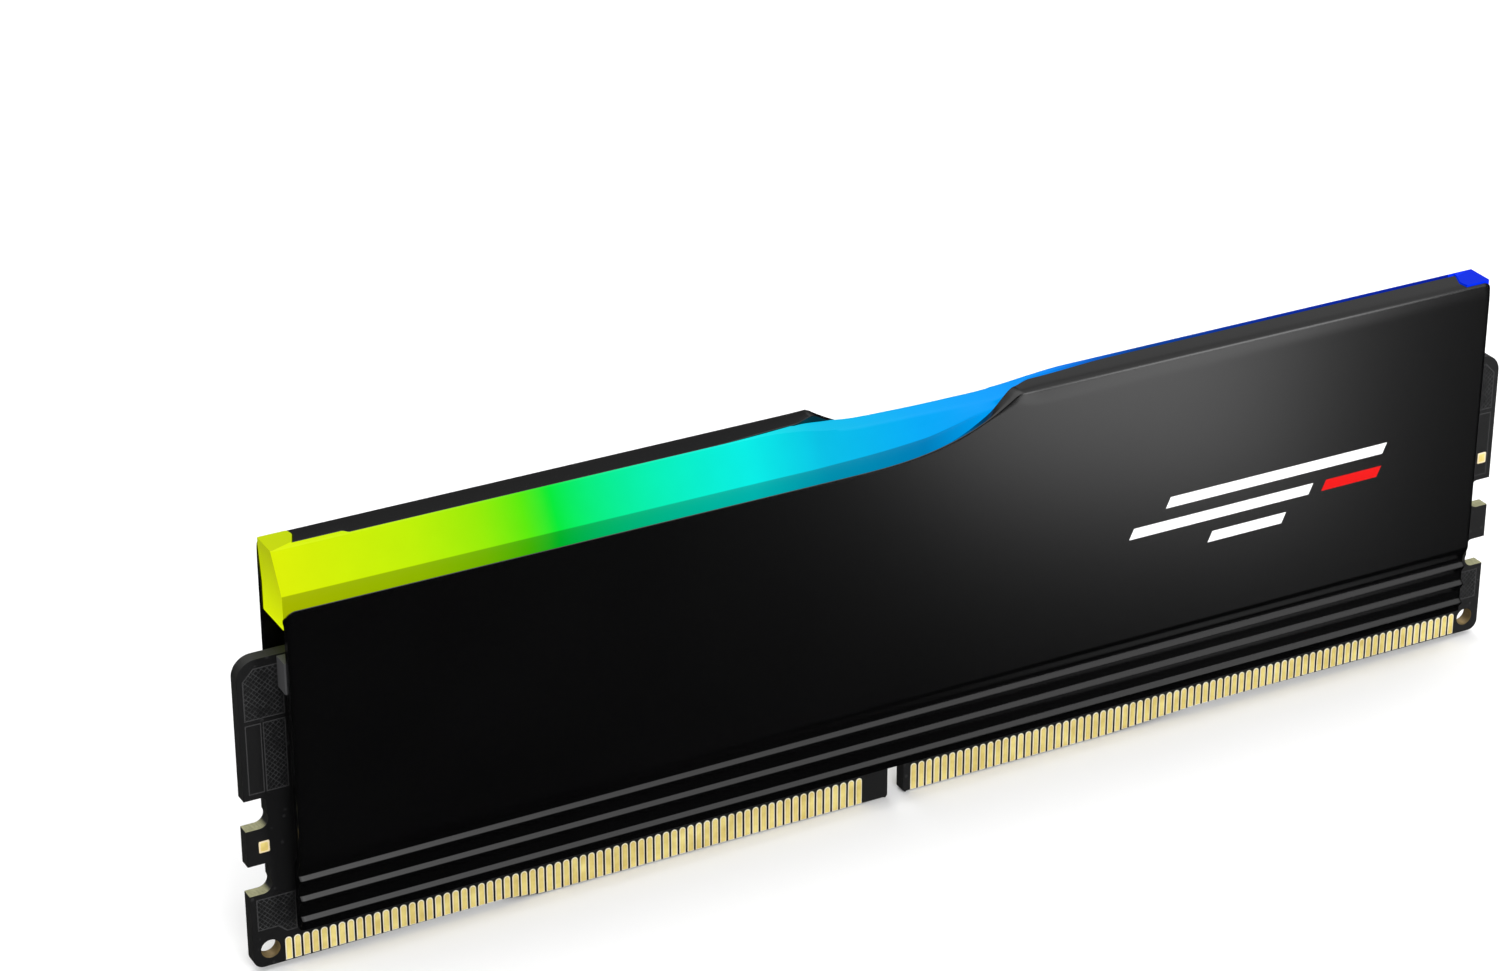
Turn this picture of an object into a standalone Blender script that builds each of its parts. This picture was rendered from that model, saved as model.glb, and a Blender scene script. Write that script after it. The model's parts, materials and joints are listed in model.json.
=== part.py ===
"""Desktop memory module: a 288-contact DIMM with folded heat spreaders and a light bar on top.

Frame: +X along the module, +Z up out of the socket, -Y towards the face with the memory chips.
The origin is at the middle of the contact edge. Every dimension below is in millimetres.
"""

import math

import bmesh
import bpy

MM = 0.001

# Circuit board
BOARD_LENGTH = 133.35
BOARD_HEIGHT = 31.25
BOARD_THICKNESS = 1.27
END_RISE = 0.5
LEFT_SLOPE = (-42.6, -38.7)
RIGHT_SLOPE = (22.4, 32.3)
TOP_CORNER_RADIUS = 1.9
BOTTOM_CORNER_RADIUS = 1.0
SIDE_NOTCH_DEPTH = 2.05
SIDE_NOTCHES = ((8.0, 11.0), (14.6, 17.6))
NOTCH_RADIUS = 0.5
NOTCH_RELIEF_RADIUS = 0.9
NOTCH_RELIEF = 0.12
KEY_NOTCH = (-2.38, -0.68)
KEY_NOTCH_HEIGHT = 4.0
KEY_EDGE_RADIUS = 0.4
TOOLING_HOLE = (65.0, 2.2)
TOOLING_HOLE_RADIUS = 0.9
FACE = BOARD_THICKNESS / 2

# Contacts
PITCH = 0.85
CONTACT_WIDTH = 0.64
CONTACT_TOP = 2.75
CONTACT_FOOT = 0.25
CONTACT_THICKNESS = 0.05
TIE_HEIGHT = 0.2
LEFT_COUNT = 69
RIGHT_COUNT = 75
OUTER_CONTACT = 63.325
SOLDER_GAP = 0.02

# Heat spreaders
SPREADER_HALF = 62.75
SPREADER_FACE = 3.3
SHEET = 0.9
SPREADER_FOOT = 4.4
RECESS = 0.75
RECESS_TOP = 10.5
FACE_FOOT = 11.7
RIB_HEIGHTS = (5.52, 7.61, 9.64)
RIB_DEPTH = 0.4
RIB_SHOULDER = 0.35
LOW_EDGE = 36.4
TOP = 40.7
RAMP_START = -9.0
RAMP_GAIN = 0.0007
EDGE_CHAMFER = 0.5
EDGE_CHAMFER_RUNOUT = (2.0, 8.3)
FOLD_RADIUS = 0.45
FLANGE_EDGE = 0.27
REAR_FLANGE_STEP = 0.5
FLANGE_STEP_AT = (55.3, 55.9)
FLANGE_START = (8.3, 12.0)
FLANGE_FIRST_SHARE = 0.75
FLANGE_FULL = 21.0
INNER_FILLET = 0.3
SHEET_TILT = 0.2
END_ROUND = 0.35
CORNER_RADIUS = 0.8
RAMP_STEP = 1.2
RAMP_STEPS = 25

# Light bar
BAR_HALF = 62.7
BAR_FACE = 2.25
BAR_FOOT = 34.2
BAR_TOP = 40.8
KEEL_HALF_WIDTH = 1.2
KEEL_HALF_LENGTH = 58.0
KEEL_FOOT = 31.6
UNDER_FOLD = 0.3
TAB_PLAN = ((60.5, -0.6), (59.8, -2.1), (60.0, -2.9))
TAB_ROOT = -0.05
TAB_LEDGE = 39.95
TAB_TAPER_FOOT = 36.9
TAPER_DEPTH = 0.62
WEB_DEPTH = 0.55
WEB_OVERLAP = 0.3
BAR_STEPS = 18
CLEAR = 0.12

# Parts on the board. A size is along x, out from the board, and along z.
CHIP_GAP = 0.03
MEMORY_COLUMNS = (-51.5, -39.5, -27.5, -15.5, 15.5, 27.5, 39.5, 51.5)
MEMORY_SIZE = (9.5, 1.0, 11.0)
MEMORY_HEIGHT = 18.0
ARRAY_SIZE = (3.2, 0.45, 1.0)
ARRAY_HEIGHT = 9.6
POWER_CHIP_SIZE = (5.0, 0.85, 5.0)
POWER_CHIP_HEIGHT = 19.5
INDUCTOR_COLUMNS = (-3.4, 0.0, 3.4)
INDUCTOR_SIZE = (2.5, 1.2, 2.0)
CAPACITOR_COLUMNS = (-6.9, -5.6, 5.6, 6.9)
CAPACITOR_SIZE = (0.8, 0.8, 1.6)
POWER_ROW_HEIGHT = 25.6
HUB_SIZE = (3.0, 0.55, 2.0)
HUB_HEIGHT = 14.2
LIGHT_CHIP_SIZE = (3.0, 0.75, 3.0)
LIGHT_CHIP_HEIGHT = 26.5
LED_COLUMNS = (-52.5, -37.5, -22.5, -7.5, 7.5, 22.5, 37.5, 52.5)
LED_SIZE = (1.6, 0.8, 1.5)
LED_HEIGHT = 30.1
PACKAGE_CHAMFER = 0.08

# Soft layers between the board and the spreaders
PAD_LENGTH = 119.0
PAD_HEIGHT = 11.6
FRONT_TAPE_LENGTH = 125.8
REAR_TAPE_LENGTH = 55.0
REAR_TAPE_CENTRE = 34.0
TAPE_WIDTH = 3.0
FRONT_TAPE_HEIGHT = 29.6
REAR_TAPE_HEIGHT = 26.8

# Bare gold pads on the board's ends, as (x, z)
LEFT_PAD = (-65.05, 12.75)
RIGHT_PAD = (65.45, 20.05)
GOLD_PAD_SIZE = (1.0, 0.05, 1.15)


def material(name, colour, roughness, metallic=0.0):
    made = bpy.data.materials.new(name)
    made.use_nodes = True
    shader = made.node_tree.nodes["Principled BSDF"]
    shader.inputs["Base Color"].default_value = (*colour, 1.0)
    shader.inputs["Roughness"].default_value = roughness
    shader.inputs["Metallic"].default_value = metallic
    return made


def make_object(name, points, faces, finish):
    """An object from points in millimetres, with its faces turned outward."""
    shape = bmesh.new()
    corners = [shape.verts.new([value * MM for value in point]) for point in points]
    for face in faces:
        shape.faces.new([corners[index] for index in face])
    bmesh.ops.recalc_face_normals(shape, faces=shape.faces)
    mesh = bpy.data.meshes.new(name)
    shape.to_mesh(mesh)
    shape.free()
    mesh.materials.append(finish)
    made = bpy.data.objects.new(name, mesh)
    bpy.context.scene.collection.objects.link(made)
    return made


def loft(name, rings, finish):
    """A closed body through rings of points, with a flat cap at each end."""
    count = len(rings[0])
    points = [point for ring in rings for point in ring]
    faces = []
    for step in range(len(rings) - 1):
        for index in range(count):
            following = (index + 1) % count
            low = step * count
            high = low + count
            faces.append((low + index, low + following, high + following, high + index))
    faces.append(tuple(range(count)))
    faces.append(tuple(range(len(points) - count, len(points))))
    return make_object(name, points, faces, finish)


def plate(name, outline, near, far, finish):
    """An (x, z) outline given thickness from y = near to y = far."""
    rings = [[(x, y, z) for x, z in outline] for y in (near, far)]
    return loft(name, rings, finish)


def prism_along_x(name, outline, low, high, finish):
    """A (y, z) outline drawn out from x = low to x = high."""
    rings = [[(x, y, z) for y, z in outline] for x in (low, high)]
    return loft(name, rings, finish)


def prism_along_z(name, outline, low, high, finish):
    """An (x, y) outline drawn out from z = low to z = high."""
    rings = [[(x, y, z) for x, y in outline] for z in (low, high)]
    return loft(name, rings, finish)


def block(name, centre, size, finish, chamfer=0.0):
    """A box; the edges of its face turned away from the board are chamfered."""
    x, y, z = (value / 2 for value in size)
    side = 1 if centre[1] > 0 else -1
    layers = [(-y, 0.0), (y - chamfer, 0.0)]
    if chamfer:
        layers.append((y, chamfer))
    rings = []
    for depth, inset in layers:
        wide, tall = x - inset, z - inset
        corners = ((-wide, -tall), (wide, -tall), (wide, tall), (-wide, tall))
        rings.append([(centre[0] + a, centre[1] + side * depth, centre[2] + b) for a, b in corners])
    return loft(name, rings, finish)


def arc(centre, radius, start, end, steps):
    """Points on an arc, with angles in degrees."""
    angles = [math.radians(start + (end - start) * step / steps) for step in range(steps + 1)]
    return [(centre[0] + radius * math.cos(a), centre[1] + radius * math.sin(a)) for a in angles]


def smooth(value, low, high):
    """A smooth step from 0 at low to 1 at high."""
    share = min(1.0, max(0.0, (value - low) / (high - low)))
    return share * share * (3 - 2 * share)


def apply_boolean(target, other, operation):
    """Cuts the other object out of the target, or joins it on, then removes it."""
    change = target.modifiers.new(operation.lower(), "BOOLEAN")
    change.operation = operation
    change.object = other
    bpy.context.view_layer.update()
    graph = bpy.context.evaluated_depsgraph_get()
    result = bpy.data.meshes.new_from_object(target.evaluated_get(graph))
    target.modifiers.clear()
    target.data = result
    bpy.data.objects.remove(other, do_unlink=True)


def side_outline():
    """The board's right edge from the bottom corner to the top corner, with its two notches."""
    right = BOARD_LENGTH / 2
    inner = right - SIDE_NOTCH_DEPTH
    corner = (right - BOTTOM_CORNER_RADIUS, END_RISE + BOTTOM_CORNER_RADIUS)
    points = arc(corner, BOTTOM_CORNER_RADIUS, -90, 0, 5)
    to_centre = NOTCH_RELIEF_RADIUS - NOTCH_RELIEF
    meet = math.degrees(math.acos(to_centre / NOTCH_RELIEF_RADIUS))
    for low, high in SIDE_NOTCHES:
        points.append((right, low))
        relief = (inner + to_centre, low + NOTCH_RELIEF_RADIUS)
        points += arc(relief, NOTCH_RELIEF_RADIUS, 270, 180 - meet, 7)
        upper = (inner + NOTCH_RADIUS, high - NOTCH_RADIUS)
        points += arc(upper, NOTCH_RADIUS, 180, 90, 3)
        points.append((right, high))
    corner = (right - TOP_CORNER_RADIUS, BOARD_HEIGHT - TOP_CORNER_RADIUS)
    return points + arc(corner, TOP_CORNER_RADIUS, 0, 90, 6)


def circuit_board(finish):
    """The board's outline with its key notch, side notches and tooling holes."""
    right_side = side_outline()
    left_side = [(-x, z) for x, z in reversed(right_side)]
    left, right = KEY_NOTCH
    crown = (right - left) / 2
    middle = ((left + right) / 2, KEY_NOTCH_HEIGHT - crown)
    bottom = [(LEFT_SLOPE[0], END_RISE), (LEFT_SLOPE[1], 0.0)]
    bottom += arc((left - KEY_EDGE_RADIUS, KEY_EDGE_RADIUS), KEY_EDGE_RADIUS, -90, 0, 3)
    bottom += arc(middle, crown, 180, 0, 8)
    bottom += arc((right + KEY_EDGE_RADIUS, KEY_EDGE_RADIUS), KEY_EDGE_RADIUS, 180, 270, 3)
    bottom += [(RIGHT_SLOPE[0], 0.0), (RIGHT_SLOPE[1], END_RISE)]
    board = plate("circuit_board", bottom + right_side + left_side, -FACE, FACE, finish)
    x, z = TOOLING_HOLE
    for side in (-1, 1):
        rim = arc((side * x, z), TOOLING_HOLE_RADIUS, 0, 342, 19)
        cutter = plate("hole_cutter", rim, -FACE - 1, FACE + 1, finish)
        apply_boolean(board, cutter, "DIFFERENCE")


def edge_height(x):
    """Height of the board's contact edge at x."""
    left = (LEFT_SLOPE[1] - x) / (LEFT_SLOPE[1] - LEFT_SLOPE[0])
    right = (x - RIGHT_SLOPE[0]) / (RIGHT_SLOPE[1] - RIGHT_SLOPE[0])
    return END_RISE * min(1.0, max(0.0, left, right))


def contact_row(name, centres, side, finish):
    """A row of contact fingers, joined at their tops by a thin tie bar."""
    half = CONTACT_WIDTH / 2
    outline = []
    for x in centres:
        left, right = x - half, x + half
        foot = max(edge_height(left), edge_height(right)) + CONTACT_FOOT
        outline += [(left, CONTACT_TOP), (left, foot), (right, foot), (right, CONTACT_TOP)]
    tie_top = CONTACT_TOP + TIE_HEIGHT
    outline += [(centres[-1] + half, tie_top), (centres[0] - half, tie_top)]
    near = side * (FACE + SOLDER_GAP)
    return plate(name, outline, near, near + side * CONTACT_THICKNESS, finish)


def contacts(finish):
    """The two rows on each face, 69 and 75 contacts long, either side of the key notch."""
    left = [-OUTER_CONTACT + PITCH * index for index in range(LEFT_COUNT)]
    right = [OUTER_CONTACT - PITCH * index for index in reversed(range(RIGHT_COUNT))]
    for face, side in (("front", -1), ("rear", 1)):
        contact_row(face + "_contacts_left", left, side, finish)
        contact_row(face + "_contacts_right", right, side, finish)


def spreader_top(x):
    """Height of the spreader's upper edge: low on one half, then climbing a curve to the fold."""
    climb = RAMP_GAIN * max(0.0, x - RAMP_START) ** 3
    height = min(TOP, LOW_EDGE + climb)
    from_end = max(0.0, abs(x) - (SPREADER_HALF - CORNER_RADIUS))
    along = min(from_end, CORNER_RADIUS * 0.98)
    return height - CORNER_RADIUS + math.sqrt(CORNER_RADIUS**2 - along**2)


def flange_reach(x, step):
    """The y of the folded flange's free edge, or of the sheet's inner face where there is no fold.

    The fold widens quickly at first and then slowly, and near its end steps back by step.
    """
    wall = -(SPREADER_FACE - SHEET)
    spread = FLANGE_FIRST_SHARE * smooth(x, *FLANGE_START)
    spread += (1 - FLANGE_FIRST_SHARE) * smooth(x, FLANGE_START[1], FLANGE_FULL)
    return wall + (-FLANGE_EDGE - wall) * spread - step * smooth(x, *FLANGE_STEP_AT)


def end_inset(x):
    """How far the outer face draws back to round off the spreader's two upright ends."""
    from_end = abs(x) - (SPREADER_HALF - END_ROUND)
    if from_end <= 0:
        return 0.0
    return END_ROUND - math.sqrt(END_ROUND**2 - min(from_end, END_ROUND) ** 2)


def rib_outline(recess):
    """The ribs' (y, z) outline up the recessed foot: a slope outward, a flat, and a shoulder back."""
    points = []
    for height in RIB_HEIGHTS:
        points.append((recess, height - RIB_SHOULDER - RIB_DEPTH))
        points.append((recess - RIB_DEPTH, height - RIB_SHOULDER))
        points.append((recess - RIB_DEPTH, height))
        points.append((recess, height + RIB_SHOULDER))
    return points


def spreader_section(x, step):
    """The spreader's (y, z) section at x, from its inner foot round the outside and back.

    Where there is no fold, the sheet's inner top edge is chamfered.
    """
    face = -SPREADER_FACE + end_inset(x)
    recess = -SPREADER_FACE + RECESS + end_inset(x) / 2
    inner = -SPREADER_FACE + SHEET
    inner_recess = inner + RECESS
    top = spreader_top(x)
    fold = (face + FOLD_RADIUS, top - FOLD_RADIUS)
    reach = flange_reach(x, step)
    under = min(1.0, (reach - inner) / INNER_FILLET)
    chamfer = EDGE_CHAMFER * (1 - smooth(x, *EDGE_CHAMFER_RUNOUT))
    lip = max(reach, fold[0] + INNER_FILLET)
    points = [(inner_recess, SPREADER_FOOT), (recess, SPREADER_FOOT)]
    points += rib_outline(recess)
    points += [(recess, RECESS_TOP), (face, FACE_FOOT)]
    points += arc(fold, FOLD_RADIUS, 180, 90, 4)
    points += [(lip, top - chamfer), (lip, top - SHEET)]
    points.append((inner + INNER_FILLET * under, top - SHEET - INNER_FILLET * (1 - under) / 2))
    points.append((inner, top - SHEET - INNER_FILLET))
    points += [(inner, FACE_FOOT + SHEET_TILT), (inner_recess, RECESS_TOP + SHEET_TILT)]
    return [(x, y, z) for y, z in points]


def spreader_stations():
    """The x of each section: close together on the ramp, the flange's step and the rounded ends."""
    ends = [SPREADER_HALF - END_ROUND * (1 - share) for share in (0.0, 0.5, 0.8, 1.0)]
    ramp = [RAMP_START + RAMP_STEP * step for step in range(RAMP_STEPS + 1)]
    flange = [FLANGE_STEP_AT[0], sum(FLANGE_STEP_AT) / 2, FLANGE_STEP_AT[1]]
    corner = SPREADER_HALF - CORNER_RADIUS
    return sorted([-x for x in ends] + [-corner] + ramp + flange + [corner] + ends)


def window_outline():
    """The (x, y) outline cut from the fold's end to make room for the light bar's end block."""
    beyond = SPREADER_HALF + 1
    inner, middle, outer = ((x - CLEAR, y) for x, y in TAB_PLAN)
    wall = outer[1] - CLEAR
    return [(inner[0], 1.0), inner, middle, (outer[0], wall), (beyond, wall), (beyond, 1.0)]


def heat_spreader(name, step, finish):
    """A stamping: three ribs along its foot, a climbing top edge and a fold over half its length."""
    shell = loft(name, [spreader_section(x, step) for x in spreader_stations()], finish)
    window = prism_along_z("window_cutter", window_outline(), TAB_LEDGE, TOP + 1, finish)
    apply_boolean(shell, window, "DIFFERENCE")
    inner = -SPREADER_FACE + SHEET
    above = TAB_LEDGE + 0.01
    outline = [(inner - TAPER_DEPTH, above), (inner, TAB_TAPER_FOOT), (1.0, TAB_TAPER_FOOT), (1.0, above)]
    start = TAB_PLAN[0][0] - CLEAR
    taper = prism_along_x("taper_cutter", outline, start, SPREADER_HALF + 1, finish)
    apply_boolean(shell, taper, "DIFFERENCE")
    return shell


# The light bar's front outline at stations along x, as (y, z) of three edges: the top of the upright
# band, a point halfway up the slope, and the edge where the slope meets the flat top.
BAR_STATIONS = (
    (-16.0, (-BAR_FACE, 37.3), (-1.2, 39.0), (-0.1, BAR_TOP)),
    (-12.0, (-BAR_FACE, 37.3), (-1.2, 38.9), (-0.2, 40.5)),
    (-9.0, (-BAR_FACE, 37.35), (-1.35, 38.75), (-0.5, 40.1)),
    (-6.0, (-BAR_FACE, 37.4), (-1.5, 38.65), (-0.8, 39.85)),
    (0.0, (-BAR_FACE, 37.8), (-1.6, 38.8), (-1.0, 39.8)),
    (3.0, (-BAR_FACE, 38.4), (-1.7, 39.1), (-1.15, 39.8)),
    (5.5, (-BAR_FACE, 39.0), (-1.8, 39.4), (-1.25, 39.82)),
    (8.25, (-BAR_FACE, 39.3), (-2.0, 39.5), (-1.7, 39.95)),
    (12.0, (-BAR_FACE, BAR_TOP), (-0.8, BAR_TOP), (-0.62, BAR_TOP)),
    (21.0, (-BAR_FACE, BAR_TOP), (-0.3, BAR_TOP), (-0.12, BAR_TOP)),
)


def bar_edges(x):
    """The three front edges of the light bar at x, between the stations either side."""
    x = min(max(x, BAR_STATIONS[0][0]), BAR_STATIONS[-1][0])
    for before, after in zip(BAR_STATIONS, BAR_STATIONS[1:]):
        if x <= after[0]:
            break
    share = (x - before[0]) / (after[0] - before[0])
    return [
        [low + (high - low) * share for low, high in zip(first, second)]
        for first, second in zip(before[1:], after[1:])
    ]


def clear_of_fold(x, edges, step):
    """The same three edges, stepped back under and behind the spreader's fold where it reaches over."""
    band, middle, crest = edges
    retreat = step * smooth(x, *FLANGE_STEP_AT)
    middle[0] -= retreat
    crest[0] -= retreat
    if x > FLANGE_START[0]:
        clear = flange_reach(x, step) + CLEAR
        shelf = spreader_top(min(x, FLANGE_STEP_AT[0])) - SHEET - CLEAR
        band[1] = shelf - UNDER_FOLD
        middle[:] = max(middle[0], clear), shelf
        crest[0] = max(crest[0], clear)
    return [band, middle, crest]


def bar_section(x):
    """The light bar's (y, z) section at x; its rear is its front at -x turned half way round."""
    front = [(-BAR_FACE, BAR_FOOT), *clear_of_fold(x, bar_edges(x), 0.0)]
    rear = [(-BAR_FACE, BAR_FOOT), *clear_of_fold(-x, bar_edges(-x), REAR_FLANGE_STEP)]
    rear = [(-y, z) for y, z in reversed(rear)]
    return [(x, y, z) for y, z in front + rear]


def light_diffuser(finish):
    """The light bar: a solid rod whose slope turns from the front face to the rear face.

    Its close stations are half a step off the middle, so they fall on both spreaders' own.
    """
    marks = {RAMP_STEP * (step + 0.5) for step in range(BAR_STEPS)} | {BAR_HALF}
    marks |= {*FLANGE_STEP_AT, sum(FLANGE_STEP_AT) / 2}
    stations = sorted(marks | {-mark for mark in marks})
    bar = loft("light_diffuser", [bar_section(x) for x in stations], finish)
    half, low, high = KEEL_HALF_WIDTH, KEEL_FOOT, BAR_FOOT + 1
    outline = [(-half, low), (half, low), (half, high), (-half, high)]
    keel = prism_along_x("keel", outline, -KEEL_HALF_LENGTH, KEEL_HALF_LENGTH, finish)
    apply_boolean(bar, keel, "UNION")
    for side in (-1, 1):
        apply_boolean(bar, end_tab(side, finish), "UNION")


def end_tab(side, finish):
    """The block that fills the window in a spreader's fold at one end of the bar."""
    start = TAB_PLAN[0][0]
    outer = TAB_PLAN[-1][1]
    plan = [(start, TAB_ROOT), *TAB_PLAN, (BAR_HALF, outer), (BAR_HALF, TAB_ROOT)]
    plan = [(side * x, side * y) for x, y in plan]
    cap = prism_along_z("tab", plan, TAB_LEDGE + CLEAR, BAR_TOP, finish)
    web_top = TAB_LEDGE + WEB_OVERLAP
    web = [
        (TAB_ROOT, TAB_TAPER_FOOT),
        (-BAR_FACE, TAB_TAPER_FOOT),
        (-BAR_FACE - WEB_DEPTH, web_top),
        (TAB_ROOT, web_top),
    ]
    low, high = sorted((side * start, side * BAR_HALF))
    filler = prism_along_x("web", [(side * y, z) for y, z in web], low, high, finish)
    apply_boolean(cap, filler, "UNION")
    return cap


def on_board(side, thickness, gap):
    """The y of the middle of a piece this thick on one face of the board."""
    return side * (FACE + gap + thickness / 2)


def place(name, x, z, size, finish, side=-1):
    """A chip or a small part on the board, at x and at height z."""
    block(name, (x, on_board(side, size[1], CHIP_GAP), z), size, finish, PACKAGE_CHAMFER)


def memory(package):
    """Eight memory chips, and the resistor array below each one."""
    for number, x in enumerate(MEMORY_COLUMNS, 1):
        place(f"dram_chip_{number}", x, MEMORY_HEIGHT, MEMORY_SIZE, package)
        place(f"resistor_array_{number}", x, ARRAY_HEIGHT, ARRAY_SIZE, package)


def power_stage(package, ferrite, ceramic):
    """The power chip in the middle of the board, with its inductors and capacitors above it."""
    place("power_management_chip", 0.0, POWER_CHIP_HEIGHT, POWER_CHIP_SIZE, package)
    for number, x in enumerate(INDUCTOR_COLUMNS, 1):
        place(f"power_inductor_{number}", x, POWER_ROW_HEIGHT, INDUCTOR_SIZE, ferrite)
    for number, x in enumerate(CAPACITOR_COLUMNS, 1):
        place(f"power_capacitor_{number}", x, POWER_ROW_HEIGHT, CAPACITOR_SIZE, ceramic)


def control_and_lights(package, led):
    """The identification chip in front; the lights and their controller on the rear face."""
    place("spd_hub_chip", 0.0, HUB_HEIGHT, HUB_SIZE, package)
    place("led_controller_chip", 0.0, LIGHT_CHIP_HEIGHT, LIGHT_CHIP_SIZE, package, side=1)
    for number, x in enumerate(LED_COLUMNS, 1):
        place(f"rgb_led_{number}", x, LED_HEIGHT, LED_SIZE, led, side=1)


def soft_layer(name, x, z, length, height, near, side, finish):
    """A strip filling the gap from near, measured out from the board's middle, to a spreader."""
    outer = SPREADER_FACE - SHEET - CHIP_GAP
    block(name, (x, side * (near + outer) / 2, z), (length, outer - near, height), finish)


def soft_layers(pad, tape):
    """Thermal pads over the chips in front and the bare board behind, and the tape above them."""
    board = FACE + CHIP_GAP
    chips = board + MEMORY_SIZE[1] + CHIP_GAP
    soft_layer("front_thermal_pad", 0.0, MEMORY_HEIGHT, PAD_LENGTH, PAD_HEIGHT, chips, -1, pad)
    soft_layer("rear_thermal_pad", 0.0, MEMORY_HEIGHT, PAD_LENGTH, PAD_HEIGHT, board, 1, pad)
    size = (FRONT_TAPE_LENGTH, TAPE_WIDTH)
    soft_layer("front_adhesive_strip", 0.0, FRONT_TAPE_HEIGHT, *size, board, -1, tape)
    size = (REAR_TAPE_LENGTH, TAPE_WIDTH)
    soft_layer("rear_adhesive_strip_left", -REAR_TAPE_CENTRE, REAR_TAPE_HEIGHT, *size, board, 1, tape)
    soft_layer("rear_adhesive_strip_right", REAR_TAPE_CENTRE, REAR_TAPE_HEIGHT, *size, board, 1, tape)


def gold_pads(finish):
    """The two bare pads beside the heat spreader, one on each end of the board."""
    y = on_board(-1, GOLD_PAD_SIZE[1], SOLDER_GAP)
    for name, (x, z) in (("left_gold_pad", LEFT_PAD), ("right_gold_pad", RIGHT_PAD)):
        block(name, (x, y, z), GOLD_PAD_SIZE, finish)


def shade_smooth_within(angle):
    """Shades every curved surface smooth and leaves edges sharper than this angle crisp."""
    for piece in bpy.context.scene.collection.objects:
        piece.data.shade_smooth()
        piece.data.set_sharp_from_angle(angle=math.radians(angle))


def main():
    for old in list(bpy.data.objects):
        bpy.data.objects.remove(old, do_unlink=True)
    black_metal = material("anodised_black", (0.012, 0.012, 0.013), 0.4, 0.9)
    board = material("solder_mask_black", (0.01, 0.011, 0.013), 0.45)
    gold = material("gold_plating", (0.83, 0.62, 0.3), 0.3, 1.0)
    diffuser = material("milky_diffuser", (0.75, 0.95, 0.8), 0.35)
    package = material("chip_package", (0.03, 0.03, 0.032), 0.6)
    ferrite = material("ferrite", (0.12, 0.12, 0.125), 0.7)
    ceramic = material("ceramic_body", (0.45, 0.33, 0.22), 0.5)
    led = material("led_package", (0.85, 0.85, 0.82), 0.4)
    pad = material("thermal_pad", (0.35, 0.42, 0.5), 0.85)
    tape = material("grey_foam_tape", (0.16, 0.16, 0.17), 0.8)
    circuit_board(board)
    contacts(gold)
    heat_spreader("front_heat_spreader", 0.0, black_metal)
    heat_spreader("rear_heat_spreader", REAR_FLANGE_STEP, black_metal).rotation_euler.z = math.pi
    light_diffuser(diffuser)
    memory(package)
    power_stage(package, ferrite, ceramic)
    control_and_lights(package, led)
    soft_layers(pad, tape)
    gold_pads(gold)
    shade_smooth_within(30)


main()
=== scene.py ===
"""Looks of the memory module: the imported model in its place, with finer visible pieces over it.

Lengths are in millimetres until a piece is made, and the frame is the model's own:
+X along the module, +Z up, -Y towards the face with the memory chips.
"""

import json
import math

import bmesh
import bpy
from mathutils import Matrix, Vector


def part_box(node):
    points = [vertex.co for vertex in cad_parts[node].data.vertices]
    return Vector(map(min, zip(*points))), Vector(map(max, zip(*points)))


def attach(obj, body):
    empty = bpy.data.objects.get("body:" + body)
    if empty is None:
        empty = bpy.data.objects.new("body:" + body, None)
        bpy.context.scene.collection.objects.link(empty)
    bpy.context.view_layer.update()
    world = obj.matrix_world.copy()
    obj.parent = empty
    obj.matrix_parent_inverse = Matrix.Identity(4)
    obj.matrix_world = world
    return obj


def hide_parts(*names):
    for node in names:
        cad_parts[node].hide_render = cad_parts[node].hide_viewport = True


MM = 0.001

# Camera and stage. A light's numbers are its place, its aim, its width and height, and its power.
CAMERA_PLACE = (-172.6, -290.6, 200.8)
CAMERA_TURN = (63.46, 0.02, -28.21)
CAMERA_LENS = 98.9
SENSOR_WIDTH = 36.0
FLOOR_HALF = 6000.0
SURROUND_LEVELS = ((0.49, 0.002), (0.51, 0.06), (0.76, 0.08), (0.86, 0.95), (1.0, 1.0))
SURROUND_STRENGTH = 1.5
LIGHTS = (
    ("overhead", (60, -60, 420), (0, 0, 20), 420, 260, 0.4),
    ("low_front", (243, -342, -103), (24, -3, -103), 70, 136, 0.093),
    ("low_rear", (-100, 420, -103), (-24, 3, -103), 70, 136, 0.07),
    ("back_right", (310, 373, 249), (35, 0, 40), 170, 120, 0.019),
    ("edge_front", (243, -342, 80), (24, -3, 80), 70, 200, 0.26),
    ("fill", (-60, -480, 260), (0, 0, 20), 300, 200, 1.8),
    ("rear_fill", (60, 480, 260), (0, 0, 20), 300, 200, 1.0),
)
UNREFLECTED_LIGHTS = ("fill", "rear_fill")

# Board
BOTTOM_BEVEL = (0.12, 0.24)
EDGE_BEVEL = 0.04
LEFT_SLOPE = (-42.6, -38.7)
RIGHT_SLOPE = (22.4, 32.3)
END_RISE = 0.5
SIDE_NOTCH_DEPTH = 2.05
SIDE_NOTCHES = ((8.0, 11.0), (14.6, 17.6))
NOTCH_RADIUS = 0.5
NOTCH_RELIEF_RADIUS = 0.9
NOTCH_RELIEF_CENTRE = 0.78
BOTTOM_CORNER_RADIUS = 1.0
TOP_CORNER_RADIUS = 1.9
KEY_NOTCH = (-2.38, -0.68)
KEY_NOTCH_HEIGHT = 4.0
KEY_EDGE_RADIUS = 0.4
TOOLING_HOLE = (65.0, 2.2)
TOOLING_HOLE_RADIUS = 0.9
LATCH_TOP = 20.0

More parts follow.
